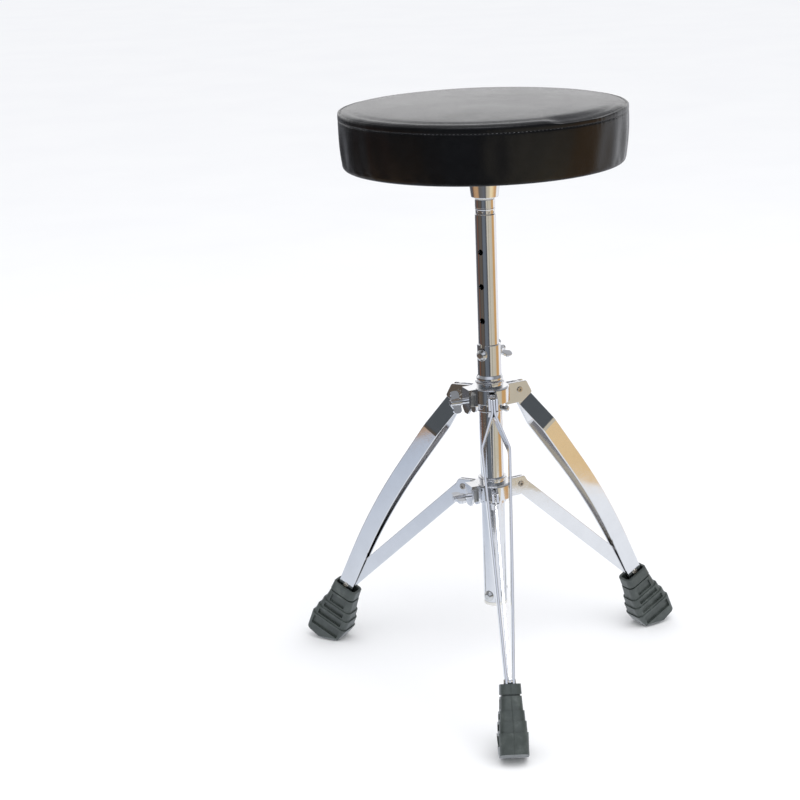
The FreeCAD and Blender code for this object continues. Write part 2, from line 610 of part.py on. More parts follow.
def strip_spread(side):
    """The strip seen from the front: pinched at the ears, spread, then tapering to the foot."""
    top = radians(LEG_ANGLES[0])
    down = V(sin(top), 0, -cos(top))
    out = V(cos(top), 0, sin(top))
    pivot = leg_point(0)
    inner_pinch = PINCH_GAP
    outer_pinch = PINCH_GAP + STRIP_THICK
    rise = (SPREAD_HALF - outer_pinch) / (SPREAD_AT - PINCH_TO)
    fall = (SPREAD_HALF - FOOT_HALF) / (PIN_AT - SPREAD_AT)
    end = PIN_AT + STRIP_TAIL + 20
    shift_pinch = STRIP_THICK * tan(atan2(rise, 1) / 2)
    shift_spread = STRIP_THICK * tan((atan2(rise, 1) + atan2(fall, 1)) / 2)
    end_outer = SPREAD_HALF - fall * (end - SPREAD_AT)
    points = [
        (-20, outer_pinch), (PINCH_TO, outer_pinch, CREASE_R),
        (SPREAD_AT, SPREAD_HALF, CREASE_R + STRIP_THICK), (end, end_outer),
        (end, end_outer - STRIP_THICK),
        (SPREAD_AT - shift_spread * 0.62, SPREAD_HALF - STRIP_THICK, CREASE_R),
        (PINCH_TO + shift_pinch, inner_pinch, CREASE_R + STRIP_THICK), (-20, inner_pinch)]
    return slab([(s, y * side) + tuple(rest) for s, y, *rest in points],
                lambda s, y: pivot + down * s + V(0, y, 0) - out * 80, out * 160)


def leg_parts():
    for name, angle in LEG_AZIMUTHS.items():
        pin = leg_point(PIN_AT)
        for label, side in (("a", -1), ("b", 1)):
            band = Part.Face(strip_side()).extrude(V(0, 40, 0))
            band.translate(V(0, -20, 0))
            strip = band.common(strip_spread(side))
            strip = softened(strip, 0.55, lambda edge: edge.Length > 12)
            strip = strip.cut(rod(RIVET_R + FIT, V(UPPER_PIVOT[0], -20, UPPER_PIVOT[1]), V(0, 1, 0), 40))
            strip = strip.cut(rod(PIN_R + 0.02, V(pin.x, -20, pin.z), V(0, 1, 0), 40))
            save(name + "_leg_strip_" + label, turn(strip, angle))
        foot_rivet = hollow_rivet((pin.x, pin.z), FOOT_HALF + 0.1, PIN_R, 3.4)
        save(name + "_foot_pin", turn(foot_rivet, angle))
        save(name + "_foot", turn(rubber_foot(), angle))
        save(name + "_brace", turn(brace(), angle))


def brace():
    pin = leg_point(PIN_AT)
    start = V(LOWER_PIVOT[0], 0, LOWER_PIVOT[1])
    along = V(pin.x - start.x, 0, pin.z - start.z)
    length = along.Length
    along.normalize()
    half = BRACE_WIDTH / 2
    out = V(-along.z, 0, along.x)

    def place(s, w):
        return start + along * s + out * w - V(0, BRACE_THICK / 2, 0)

    round_r = half - 0.01
    bar = slab([(-half, -half, round_r), (length + half, -half, round_r),
                (length + half, half, round_r), (-half, half, round_r)], place,
               V(0, BRACE_THICK, 0))
    bar = softened(bar, 0.5, lambda edge: edge.Length > 3)
    bar = bar.cut(rod(RIVET_R + FIT, start - V(0, 20, 0), V(0, 1, 0), 40))
    slot_r = BRACE_SLOT_R
    inner = length - BRACE_SLOT_RUN
    slot = slab([(inner - slot_r, -slot_r, slot_r - 0.01), (length + slot_r, -slot_r, slot_r - 0.01),
                 (length + slot_r, slot_r, slot_r - 0.01), (inner - slot_r, slot_r, slot_r - 0.01)],
                lambda s, w: place(s, w) - V(0, 5, 0), V(0, 10 + BRACE_THICK, 0))
    return bar.cut(slot)


# --- rubber feet ----------------------------------------------------------------------
# Levels run down the leg from the foot pin. Each tier is (from, to, inner, outer, half width)
# at its top and again at its bottom.
def foot_frame():
    foot = radians(LEG_ANGLES[1])
    return leg_point(PIN_AT), V(sin(foot), 0, -cos(foot)), V(cos(foot), 0, sin(foot))


def foot_section(level, inner, outer, half):
    pin, down, out = foot_frame()
    radius = min(6.5, half * 0.55)
    corners = [(inner, -half, radius), (outer, -half, radius), (outer, half, radius),
               (inner, half, radius)]
    return outline(corners, lambda w, y: pin + down * level + out * w + V(0, y, 0))


def rubber_foot():
    pin, down, out = foot_frame()
    tiers = [Part.makeLoft([foot_section(*top), foot_section(*bottom)], True, True)
             for top, bottom in FOOT_TIERS]
    boot = fuse(tiers)
    # the sole: flat where it stands, sloping up towards the toe
    sole = [(HEEL_X - 40, 42), (HEEL_X, 0, 6), (TOE_X, 0, 12), (TOE_X + 60, 43), (TOE_X + 60, -60),
            (HEEL_X - 40, -60)]
    boot = boot.cut(radial_slab(sole, -30, 30))
    for side in (1, -1):
        bevel = [(SOLE_HALF * side, -0.01), (40 * side, -0.01), (40 * side, 40 - SOLE_HALF)]
        boot = boot.cut(slab(bevel, lambda y, z: V(HEEL_X - 40, y, z), V(100, 0, 0)))
    for (top, bottom), deep in zip(FOOT_TIERS[2:], (1.8, 2.4, 2.6, 3.0)):
        low, high = top[0] + 2.6, min(bottom[0], 66.0) - 2.2
        window = [(top[1] + 6.5, low, 1), (top[2] - 6.0, low, 1), (top[2] - 6.0, high, 1),
                  (top[1] + 6.5, high, 1)]
        for side in (1, -1):
            depth = (top[3] - deep) * side
            window_cut = slab(window, lambda w, t: pin + down * t + out * w + V(0, depth, 0),
                              V(0, 10 * side, 0))
            boot = boot.cut(window_cut)
    mouth = slab([(-13.6, -7.2, 3), (12.2, -7.2, 3), (12.2, 7.2, 3), (-13.6, 7.2, 3)],
                 lambda w, y: pin + down * -6 + out * w + V(0, y, 0), down * 16)
    socket = slab([(-10, -5.4, 1), (12, -5.4, 1), (12, 5.4, 1), (-10, 5.4, 1)],
                  lambda w, y: pin + down * -6 + out * w + V(0, y, 0), down * (6 + STRIP_TAIL + 0.5))
    return boot.cut(mouth).cut(socket)


os.makedirs("parts", exist_ok=True)
seat_parts()
bracket_parts()
post_parts()
base_tube_parts()
collar_parts()
leg_parts()
pin = leg_point(PIN_AT)
reach = sqrt((pin.x - LOWER_PIVOT[0]) ** 2 + (pin.z - LOWER_PIVOT[1]) ** 2)
lean = degrees(atan2(pin.x - LOWER_PIVOT[0], LOWER_PIVOT[1] - pin.z))
print(f"foot pin r {pin.x:.3f} z {pin.z:.3f}, brace length {reach:.3f}, brace lean {lean:.3f}")
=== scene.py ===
from functools import partial
from math import cos, pi, radians, sin, sqrt, tau

import bpy
import numpy as np
from mathutils import Matrix, Vector


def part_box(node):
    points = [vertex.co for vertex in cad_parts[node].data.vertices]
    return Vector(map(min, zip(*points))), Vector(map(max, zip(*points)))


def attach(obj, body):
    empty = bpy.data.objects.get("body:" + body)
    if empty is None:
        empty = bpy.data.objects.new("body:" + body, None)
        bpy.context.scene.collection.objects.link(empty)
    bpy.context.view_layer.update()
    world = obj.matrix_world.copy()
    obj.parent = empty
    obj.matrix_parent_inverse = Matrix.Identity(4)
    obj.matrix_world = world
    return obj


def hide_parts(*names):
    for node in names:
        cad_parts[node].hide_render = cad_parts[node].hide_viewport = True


# A drum throne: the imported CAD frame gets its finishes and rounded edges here, and the padded
# seat and its stitching are built on it. Metres, in the frame's own axes.

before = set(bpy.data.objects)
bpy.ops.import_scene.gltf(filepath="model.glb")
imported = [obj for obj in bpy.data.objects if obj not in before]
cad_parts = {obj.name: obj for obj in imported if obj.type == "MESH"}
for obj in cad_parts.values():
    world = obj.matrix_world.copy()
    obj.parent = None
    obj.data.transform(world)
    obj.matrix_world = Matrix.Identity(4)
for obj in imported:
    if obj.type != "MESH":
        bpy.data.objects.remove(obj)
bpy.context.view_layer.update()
rng = np.random.default_rng(7)

MM = 0.001
LEGS = {"front": -90.0, "right": 30.0, "left": 150.0}


# --- materials --------------------------------------------------------------------------
CHROME_TONE = (0.86, 0.86, 0.87)
PLY = 1.2 * MM                    # thickness of one layer of the plywood
SHARP_ANGLE = radians(38)         # edges that turn more than this are rounded


def plug(tree, socket, value):
    """Links another node's output to a socket, or sets the socket to a plain value."""
    if isinstance(value, bpy.types.NodeSocket):
        tree.links.new(value, socket)
    else:
        socket.default_value = value


def add_node(tree, kind, inputs=(), **settings):
    made = tree.nodes.new("ShaderNode" + kind)
    for name, value in settings.items():
        setattr(made, name, value)
    for name, value in dict(inputs).items():
        plug(tree, made.inputs[name], value)
    return made


class Finish:
    """A material with a Principled shader, and short calls to wire nodes into it."""

    def __init__(self, name):
        self.material = bpy.data.materials.new(name)
        self.material.use_nodes = True
        self.tree = self.material.node_tree
        self.shader = self.tree.nodes["Principled BSDF"]
        self.place = self.node("TexCoord").outputs["Object"]

    def node(self, kind, inputs=(), **settings):
        return add_node(self.tree, kind, inputs, **settings)

    def put(self, socket, value):
        plug(self.tree, socket, value)

    def set(self, **sockets):
        for name, value in sockets.items():
            self.put(self.shader.inputs[name.replace("_", " ").title().replace("Ior", "IOR")], value)
        return self

    def math(self, operation, *values):
        made = self.node("Math", operation=operation)
        for socket, value in zip(made.inputs, values):
            self.put(socket, value)
        return made.outputs[0]

    def stretched(self, scale):
        return self.node("Mapping", {"Vector": self.place, "Scale": scale}).outputs[0]

    def noise(self, scale, detail=4.0, rough=0.55, where=None):
        made = self.node("TexNoise", {"Vector": where or self.place, "Scale": scale, "Detail": detail,
                                      "Roughness": rough})
        return made.outputs[0]

    def cells(self, scale, where=None):
        made = self.node("TexVoronoi", {"Vector": where or self.place, "Scale": scale},
                         feature="DISTANCE_TO_EDGE")
        return made.outputs["Distance"]

    def between(self, value, low, high, from_low=0.0, from_high=1.0, smooth=True):
        kind = "SMOOTHSTEP" if smooth else "LINEAR"
        made = self.node("MapRange", {"Value": value, "From Min": from_low, "From Max": from_high,
                                      "To Min": low, "To Max": high}, interpolation_type=kind)
        return made.outputs["Result"]

    def tint(self, value, stops):
        ramp = self.node("ValToRGB", {"Fac": value})
        set_stops(ramp.color_ramp, stops)
        return ramp.outputs["Color"]

    def bumps(self, *layers):
        """Layers of (height, distance in metres), the first one undermost."""
        normal = None
        for height, distance in layers:
            inputs = {"Height": height, "Distance": distance, "Strength": 1.0}
            if normal:
                inputs["Normal"] = normal
            normal = self.node("Bump", inputs).outputs[0]
        self.put(self.shader.inputs["Normal"], normal)
        return self


def set_stops(ramp, stops):
    while len(ramp.elements) > 1:
        ramp.elements.remove(ramp.elements[-1])
    for i, (position, color) in enumerate(stops):
        stop = ramp.elements[0] if i == 0 else ramp.elements.new(position)
        stop.position = position
        stop.color = (*color, 1.0)


def chrome(name, wave=0.0, grain=(1.0, 1.0, 1.0)):
    """Bright chrome: faint smears, tiny pits, fine polishing lines and, with wave, slow waviness."""
    made = Finish(name)
    smear = made.noise(38.0, 6.0, 0.65)
    pits = made.between(made.cells(900.0), 1.0, 0.0, 0.0, 0.035)
    lines = made.noise(900.0, 2.0, 0.5, made.stretched(grain))
    smeared = tuple(c * 0.94 for c in CHROME_TONE)
    made.set(metallic=1.0, base_color=made.tint(smear, [(0.25, smeared), (0.6, CHROME_TONE)]),
             roughness=made.between(smear, 0.035, 0.095, 0.3, 0.75))
    layers = [(lines, 0.000004), (pits, 0.000004)]
    if wave:
        layers.insert(0, (made.noise(22.0, 2.0, 0.4), wave))
    return made.bumps(*layers).material


def zinc(name, tone, rough):
    """Plated steel hardware: duller than chrome, faintly stained and finely mottled."""
    made = Finish(name)
    mottle = made.noise(420.0, 5.0, 0.7)
    stain = made.noise(90.0, 3.0)
    colors = [(0.3, tuple(c * 0.72 for c in tone)), (0.55, tone), (0.8, tuple(c * 1.08 for c in tone))]
    made.set(metallic=1.0, base_color=made.tint(stain, colors),
             roughness=made.between(mottle, rough * 0.8, rough * 1.35, 0.3, 0.7))
    return made.bumps((mottle, 0.00002)).material


def vinyl():
    """Black upholstery vinyl: pebbled leather grain with fine creases, its gloss drifting slowly."""
    made = Finish("black_vinyl")
    drift = made.node("TexNoise", {"Vector": made.place, "Scale": 260.0, "Detail": 2.0})
    moved = made.node("VectorMath", {0: drift.outputs["Color"], "Scale": 0.0011}, operation="SCALE")
    bent = made.node("VectorMath", {0: made.place, 1: (1.0, 1.0, 1.0), 2: moved.outputs[0]},
                     operation="MULTIPLY_ADD").outputs[0]
    pebble = made.between(made.cells(620.0, bent), 0.0, 1.0, 0.0, 0.16)
    crease = made.between(made.cells(170.0, bent), 0.0, 1.0, 0.0, 0.05)
    fine = made.noise(2600.0, 2.0, 0.6)
    wear = made.noise(14.0, 4.0, 0.6)
    mottle = made.noise(120.0, 3.0)
    made.set(base_color=made.tint(mottle, [(0.3, (0.0024, 0.0024, 0.0028)), (0.7, (0.004, 0.004, 0.0045))]),
             roughness=made.between(wear, 0.17, 0.21, 0.3, 0.7), specular_ior_level=0.32)
    return made.bumps((crease, 0.000025), (pebble, 0.00003), (fine, 0.000006)).material


def rubber(name, angle):
    """Moulded rubber: cloudy dark green-grey, with a parting line down the boot."""
    made = Finish(name)
    grain = made.noise(1500.0, 3.0, 0.6)
    cloud = made.noise(70.0, 6.0, 0.7)
    across = (-sin(radians(angle)), cos(radians(angle)), 0.0)
    side = made.node("VectorMath", {0: made.place, 1: across}, operation="DOT_PRODUCT")
    off = made.math("ABSOLUTE", side.outputs["Value"])
    line = made.between(off, 1.0, 0.0, 0.00015, 0.00055)
    colors = [(0.2, (0.030, 0.037, 0.034)), (0.55, (0.056, 0.067, 0.062)), (0.95, (0.15, 0.17, 0.16))]
    made.set(base_color=made.tint(cloud, colors), roughness=made.between(cloud, 0.28, 0.46, 0.3, 0.7),
             specular_ior_level=0.6)
    return made.bumps((line, 0.0003), (grain, 0.00003)).material


def plastic(name, dark, light, rough):
    """Moulded nylon or spun thread: cloudy between two colours, with a fine grain. For the thread, both
    colours hold a painted highlight.
    """
    made = Finish(name)
    grain = made.noise(900.0, 3.0, 0.6)
    cloud = made.noise(60.0, 4.0)
    made.set(base_color=made.tint(cloud, [(0.3, dark), (0.7, light)]),
             roughness=made.between(cloud, rough * 0.85, rough * 1.2, 0.3, 0.7))
    return made.bumps((grain, 0.00002)).material


def plywood():
    """Faces with long grain, and edges that show the plies."""
    made = Finish("plywood")
    figure = made.noise(26.0, 6.0, 0.6, made.stretched((1.0, 9.0, 1.0)))
    height = made.node("SeparateXYZ", {0: made.place}).outputs["Z"]
    layer = made.math("SINE", made.math("MULTIPLY", height, tau / (2 * PLY)))
    shade = made.math("ADD", figure, made.math("MULTIPLY", layer, 0.12))
    colors = [(0.25, (0.28, 0.17, 0.09)), (0.5, (0.46, 0.31, 0.18)), (0.8, (0.58, 0.42, 0.26))]
    made.set(base_color=made.tint(shade, colors), roughness=made.between(figure, 0.6, 0.8))
    return made.bumps((figure, 0.0001)).material


def cloth(name, dark, light, pitch):
    """Woven or felted cloth from two crossed threads and loose fibre."""
    made = Finish(name)
    axes = made.node("SeparateXYZ", {0: made.place})
    warp = made.math("SINE", made.math("MULTIPLY", axes.outputs["X"], tau / pitch))
    weft = made.math("SINE", made.math("MULTIPLY", axes.outputs["Y"], tau / pitch))
    weave = made.math("MULTIPLY", warp, weft)
    fibre = made.noise(1800.0, 4.0, 0.7)
    made.set(base_color=made.tint(fibre, [(0.3, dark), (0.7, light)]), roughness=0.92,
             sheen_weight=0.25)
    return made.bumps((weave, 0.0001), (fibre, 0.00008)).material


def assign(node, material):
    """Puts a material on a CAD node, which keeps its own mesh."""
    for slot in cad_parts[node].material_slots:
        slot.link = "OBJECT"
        slot.material = material


def rounded(node, width_mm, segments):
    """Softens a CAD node's sharp edges with a bevel."""
    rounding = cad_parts[node].modifiers.new("rounding", "BEVEL")
    rounding.width = width_mm * MM
    rounding.segments = segments
    rounding.limit_method = "ANGLE"
    rounding.angle_limit = SHARP_ANGLE


tube_chrome = chrome("tube_chrome", grain=(1.0, 1.0, 0.03))
strip_chrome = chrome("strip_chrome", wave=0.00016, grain=(1.0, 1.0, 0.05))
cast_chrome = chrome("stamped_chrome", wave=0.00006)
bolt_steel = zinc("bright_zinc", (0.72, 0.72, 0.71), 0.20)
rivet_steel = zinc("rivet_steel", (0.62, 0.57, 0.50), 0.24)
dull_zinc = zinc("dull_zinc", (0.52, 0.52, 0.50), 0.36)
black_vinyl = vinyl()
black_nylon = plastic("black_nylon", (0.015, 0.015, 0.016), (0.03, 0.03, 0.032), 0.45)
pale_nylon = plastic("pale_nylon", (0.62, 0.61, 0.57), (0.74, 0.73, 0.70), 0.4)
dust_cloth = cloth("dust_cloth", (0.008, 0.008, 0.009), (0.03, 0.03, 0.032), 0.0011)
# the thread's greys are its own dark grey lightened with a painted highlight, standing in for the glints
# along the stitches
thread = plastic("stitch_thread_painted_highlight", (0.24, 0.24, 0.245), (0.42, 0.42, 0.425), 0.3)

FINISHES = {
    "seat_board": plywood(), "board_tee_nuts": dull_zinc, "seat_mount_screws": bolt_steel,
    "seat_dust_cover": dust_cloth, "seat_staples": bolt_steel, "seat_mount_plate": dull_zinc,
    "seat_socket": tube_chrome, "swivel_bush": pale_nylon, "swivel_spindle": tube_chrome,
    "spindle_washer": dull_zinc, "spindle_clip": dull_zinc, "post_tube": tube_chrome,
    "post_end_cap": black_nylon, "height_bolt": bolt_steel, "height_washer": bolt_steel,
    "height_wing_nut": cast_chrome, "base_tube": tube_chrome, "tube_end_plug": pale_nylon,
    "tube_stop_bolt": bolt_steel, "tube_stop_nut": bolt_steel, "collar_lock_screw": bolt_steel,
    "upper_collar": cast_chrome, "lower_collar": cast_chrome, "upper_clamp_nut": dull_zinc,
    "lower_clamp_nut": dull_zinc, "upper_clamp_shoe": dull_zinc, "lower_clamp_shoe": dull_zinc,
    "upper_wing_screw": cast_chrome, "lower_wing_screw": cast_chrome,
    "upper_leg_rivets": rivet_steel, "lower_brace_rivets": rivet_steel,
}
for node, material in FINISHES.items():
    assign(node, material)
for leg, angle in LEGS.items():
    assign(leg + "_leg_strip_a", strip_chrome)
    assign(leg + "_leg_strip_b", strip_chrome)
    assign(leg + "_brace", strip_chrome)
    assign(leg + "_foot_pin", rivet_steel)
    assign(leg + "_foot", rubber(leg + "_rubber", angle))
    rounded(leg + "_foot", width_mm=0.55, segments=3)
    for piece in ("_leg_strip_a", "_leg_strip_b", "_brace"):
        rounded(leg + piece, width_mm=0.45, segments=2)


# --- helpers for pieces -----------------------------------------------------------------
def add_mesh(name, vertices, faces, material):
    mesh = bpy.data.meshes.new(name)
    mesh.from_pydata([tuple(v) for v in vertices], [], faces)
    mesh.materials.append(material)
    mesh.shade_smooth()
    piece = bpy.data.objects.new(name, mesh)
    bpy.context.scene.collection.objects.link(piece)
    return piece


def smoothstep(low, high, value):
    t = np.clip((value - low) / (high - low), 0.0, 1.0)
    return t * t * (3.0 - 2.0 * t)


# --- the padded seat --------------------------------------------------------------------
seat_low, seat_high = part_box("seat_cover")
SEAT_R = seat_high.x
CROWN = seat_high.z - 0.9 * MM
RIM = seat_high.z - 4.3 * MM      # height of the top panel's edge
BEAD_Z = RIM - 2.45 * MM          # the dip inside that edge
STITCH_Z = seat_high.z - 12.0 * MM
FOLD_Z = seat_low.z + 0.8 * MM    # height of the vinyl folded under the board
FOLD_R = 116.2 * MM               # inner edge of that fold
INSIDE = 140 * MM                 # the rim and the side are further out than this
AROUND = 576                      # vertices in each ring of the cushion

COARSER = 4                       # the cloth's rings have so many times fewer vertices
UNEVENNESS = 0.2                  # share of the cloth's unevenness that is kept
SWELL_CAP = 0.5 * MM              # furthest that the cloth may move a point

FOLD_DEPTH = 0.68 * MM
PUCKER_DEPTH = 0.13 * MM
GATHER_DEPTH = 0.35 * MM
UNDER_DEPTH = 0.5 * MM
RIPPLE = 0.1 * MM
LUMP = 0.15 * MM
PRESS = 3.3 * MM                  # depth of the soft spot
LUMPS = 9

STITCHES = 226
STITCH_RINGS = 7                  # along one stitch
STITCH_SIDES = 6                  # round its thread


def seat_profile():
    """(radius, height) points from the middle of the top, over the rim and side, to the fold."""
    top = (0.4, 4, 8, 13, 18, 24, 30, 37, 44, 51, 58, 65, 72, 79, 86, 92, 98, 104, 109, 114, 118,
           122, 125, 128, 131, 133.5, 136, 138, 140, 141.5, 143)
    points = [(r * MM, CROWN - 3.0 * MM * (r / top[-1]) ** 3.0) for r in top]
    # steps out from the seat's radius and up from the rim, then up from the seam
    rim = [(-5.6, -0.1), (-4.6, -0.35), (-3.8, -0.8), (-3.1, -1.5), (-2.7, -2.1), (-2.45, -2.45),
           (-2.2, -2.3), (-1.9, -1.8), (-1.5, -1.45), (-1.0, -1.35), (-0.5, -1.65), (-0.1, -2.3),
           (0.1, -3.2), (0.2, -4.2), (0.22, -5.4), (0.18, -6.6), (0.1, -7.8)]
    points += [(SEAT_R + out * MM, RIM + up * MM) for out, up in rim]
    groove = [(0.0, 1.3), (-0.15, 0.8), (-0.5, 0.35), (-0.62, 0.0), (-0.5, -0.35), (-0.15, -0.8),
              (0.0, -1.3), (0.06, -2.2)]
    points += [(SEAT_R + out * MM, STITCH_Z + up * MM) for out, up in groove]
    side_top, side_bottom = STITCH_Z - 3.4 * MM, FOLD_Z + 3.4 * MM
    for t in np.linspace(0.0, 1.0, 34):
        taper, bulge = 2.7 * t ** 1.2, 0.5 * sin(pi * t)
        points.append((SEAT_R + (0.1 - taper + bulge) * MM, side_top + (side_bottom - side_top) * t))
    turn_r, turn = SEAT_R - 2.9 * MM, 3.2 * MM
    for step in range(1, 9):
        a = step * pi / 16
        points.append((turn_r - turn * (1 - cos(a)), FOLD_Z + turn * (1 - sin(a))))
    lying = FOLD_Z + 0.05 * MM
    points += [(r * MM, lying) for r in (142, 139.5, 137, 135, 133, 131, 129, 126, 122)]
    return np.array(points + [(FOLD_R, lying), (FOLD_R - 0.2 * MM, FOLD_Z + 0.7 * MM)])


def nearest_ring(profile, height):
    """The ring of the rim or side that lies closest to a height."""
    return int(np.argmin(np.abs(profile[:, 1] - height) + (profile[:, 0] < INSIDE)))


def ring_faces(rings, around):
    """Quads between neighbouring rings, and one face that closes the middle of the top."""
    faces = []
    for i in range(rings - 1):
        for j in range(around):
            k = (j + 1) % around
            faces.append((i * around + j, (i + 1) * around + j, (i + 1) * around + k, i * around + k))
    faces.append(tuple(range(around)))
    return faces


def revolved(profile, around):
    """The profile's points turned round the seat's axis, by ring, then vertex, then axis."""
    angles = np.arange(around) * tau / around
    r, z = profile[:, 0][:, None], profile[:, 1][:, None]
    return np.stack([r * np.cos(angles), r * np.sin(angles), z + 0 * angles], axis=2)


def swelling(profile, around, held):
    """How far pressure swells a coarse copy of the seat between its held seams, per vertex."""
    frames = 20
    start = revolved(profile, around)
    rings = len(profile)
    piece = add_mesh("swelling", start.reshape(-1, 3), ring_faces(rings, around), black_vinyl)
    group = piece.vertex_groups.new(name="held")
    group.add([i * around + j for i in held for j in range(around)], 1.0, "REPLACE")
    bend = piece.modifiers.new("cloth", "CLOTH")
    bend.settings.quality = 5
    bend.settings.mass = 0.4
    bend.settings.tension_stiffness = 12
    bend.settings.compression_stiffness = 12
    bend.settings.shear_stiffness = 6
    bend.settings.bending_stiffness = 2.0
    bend.settings.use_pressure = True
    bend.settings.uniform_pressure_force = 4.0
    bend.settings.vertex_group_mass = "held"
    bend.settings.effector_weights.gravity = 0.0
    for number in range(1, frames + 1):
        bpy.context.scene.frame_set(number)
    graph = bpy.context.evaluated_depsgraph_get()
    swollen = piece.evaluated_get(graph).data
    found = np.array([v.co for v in swollen.vertices]).reshape(rings, around, 3)
    bpy.context.scene.frame_set(1)
    bpy.data.objects.remove(piece)
    return found - start


def calmed(moves, share):
    """The same swelling with its unevenness round the seat cut to a share, for taut vinyl."""
    angles = np.arange(moves.shape[1]) * tau / moves.shape[1]
    out = np.stack([np.cos(angles), np.sin(angles)], axis=1)
    outward = (moves[:, :, :2] * out).sum(axis=2)
    upward = moves[:, :, 2]
    evened = [part.mean(axis=1, keepdims=True) * (1 - share) + part * share for part in (outward, upward)]
    return np.concatenate([evened[0][:, :, None] * out, evened[1][:, :, None]], axis=2)


def waves(angles, count, low, high):
    """A seeded sum of waves round the seat, about 1 high."""
    total = np.zeros_like(angles)
    for turns in rng.integers(low, high, count):
        total += np.sin(turns * angles + rng.uniform(0, tau)) / sqrt(count)
    return total


def pressed_out(profile):
    """How far the cloth moves each point of the cushion, evened out and capped."""
    rings = len(profile)
    bead, seam = nearest_ring(profile, BEAD_Z), nearest_ring(profile, STITCH_Z)
    fold = int(np.argmax(profile[:, 1] < FOLD_Z + 1.0 * MM))
    coarse = sorted(set(range(0, rings, 3)) | {bead, seam, fold, rings - 1})
    held = [k for k, i in enumerate(coarse) if i in (bead, seam) or i >= fold]
    around = AROUND // COARSER
    grown = calmed(swelling(profile[coarse], around, held), UNEVENNESS)
    size = np.linalg.norm(grown, axis=2, keepdims=True)
    grown *= np.minimum(1.0, SWELL_CAP / np.maximum(size, 1e-9))

    turn = np.arange(AROUND) / COARSER
    before = np.floor(turn).astype(int)
    part = (turn - before)[None, :, None]
    finer = grown[:, before % around] * (1 - part) + grown[:, (before + 1) % around] * part
    moves = np.empty((rings, AROUND, 3))
    for axis in range(3):
        for j in range(AROUND):
            moves[:, j, axis] = np.interp(np.arange(rings), coarse, finer[:, j, axis])
    return moves


def lobe(angles, middle, width):
    return np.exp(-((angles - middle) / width) ** 2)


def side_folds(angles, drop):
    """Slow folds that lean as they go down the side, about 1 high."""
    total = np.zeros((len(drop), AROUND))
    for turns in rng.integers(9, 34, 7):
        lean, start = rng.uniform(-1.6, 1.6), rng.uniform(0, tau)
        total += np.sin(turns * angles + lean * drop + start) * np.sin(pi * (0.12 + 0.8 * drop)) / 2.6
    return total


def foam_lumps(x, y):
    """Slow unevenness of the foam under the top, below 1 high."""
    total = np.zeros_like(x)
    for _ in range(LUMPS):
        k = rng.uniform(25, 75, 2) * rng.choice([-1, 1], 2)
        total += np.sin(k[0] * x + k[1] * y + rng.uniform(0, tau)) / LUMPS
    return total


def soft_spot(angles, r):
    """How far the front right edge of the top is pressed in: 0 for not at all, 1 for most."""
    turned = angles - radians(-55.0)
    gap = np.arctan2(np.sin(turned), np.cos(turned))
    spot = smoothstep(-radians(15), -radians(5), gap) * (1 - smoothstep(radians(2), radians(38), gap))
    return spot * smoothstep(0.124, 0.1475, r) ** 1.4


def cushion():
    """The sewn vinyl seat, with its points by ring and the profile that it starts from."""
    profile = seat_profile()
    angles = np.arange(AROUND) * tau / AROUND
    points = revolved(profile, AROUND)
    points += pressed_out(profile)

    r, z = profile[:, 0][:, None], profile[:, 1][:, None]
    out = np.stack([np.cos(angles), np.sin(angles), 0 * angles], axis=1)[None]
    side = smoothstep(FOLD_Z, FOLD_Z + 8 * MM, z) * smoothstep(INSIDE, 0.1455, r)
    under = (z < FOLD_Z + 0.2 * MM) * smoothstep(0.127, 0.133, r) * (1 - smoothstep(0.140, 0.1432, r))
    drop = np.clip((STITCH_Z - z) / (STITCH_Z - FOLD_Z), 0.0, 1.0)

    # folds in the side, stronger at the right and left
    strong = (0.45 + 0.75 * lobe(angles, 0.0, 0.55) + 0.75 * lobe(angles, tau, 0.55)
              + 0.45 * lobe(angles, pi, 0.6))
    folds = side_folds(angles, drop)
    # short puckers that the stitches pull
    near = np.exp(-np.abs(z - STITCH_Z) / (3.2 * MM)) + 0.8 * np.exp(-np.abs(z - RIM) / (2.6 * MM))
    puckers = waves(angles, 6, 90, 170) + 0.5 * waves(angles, 4, 200, 260)
    # gathers above the fold
    hem = smoothstep(FOLD_Z + 14 * MM, FOLD_Z, z)
    gather = waves(angles, 5, 30, 64)
    radial = side * (FOLD_DEPTH * strong * folds + PUCKER_DEPTH * near * puckers
                     + GATHER_DEPTH * hem * gather)
    points += radial[:, :, None] * out

    # the top's lumps and soft spot, then ripples under the seat and along the seam
    top = smoothstep(RIM - 4 * MM, RIM - 0.5 * MM, z)
    lumps = foam_lumps(r * np.cos(angles), r * np.sin(angles))
    points[:, :, 2] += top * (LUMP * lumps - PRESS * soft_spot(angles, r))
    points[:, :, 2] -= UNDER_DEPTH * under * np.abs(waves(angles, 3, 34, 52))
    points[:, :, 2] += RIPPLE * (1 - top) * side * (z > STITCH_Z - 2 * MM) * puckers

    faces = ring_faces(len(profile), AROUND)
    piece = add_mesh("seat_cushion", points.reshape(-1, 3), faces, black_vinyl)
    thick = piece.modifiers.new("thickness", "SOLIDIFY")
    thick.thickness = 0.8 * MM
    thick.offset = -1.0
    return piece, points, profile


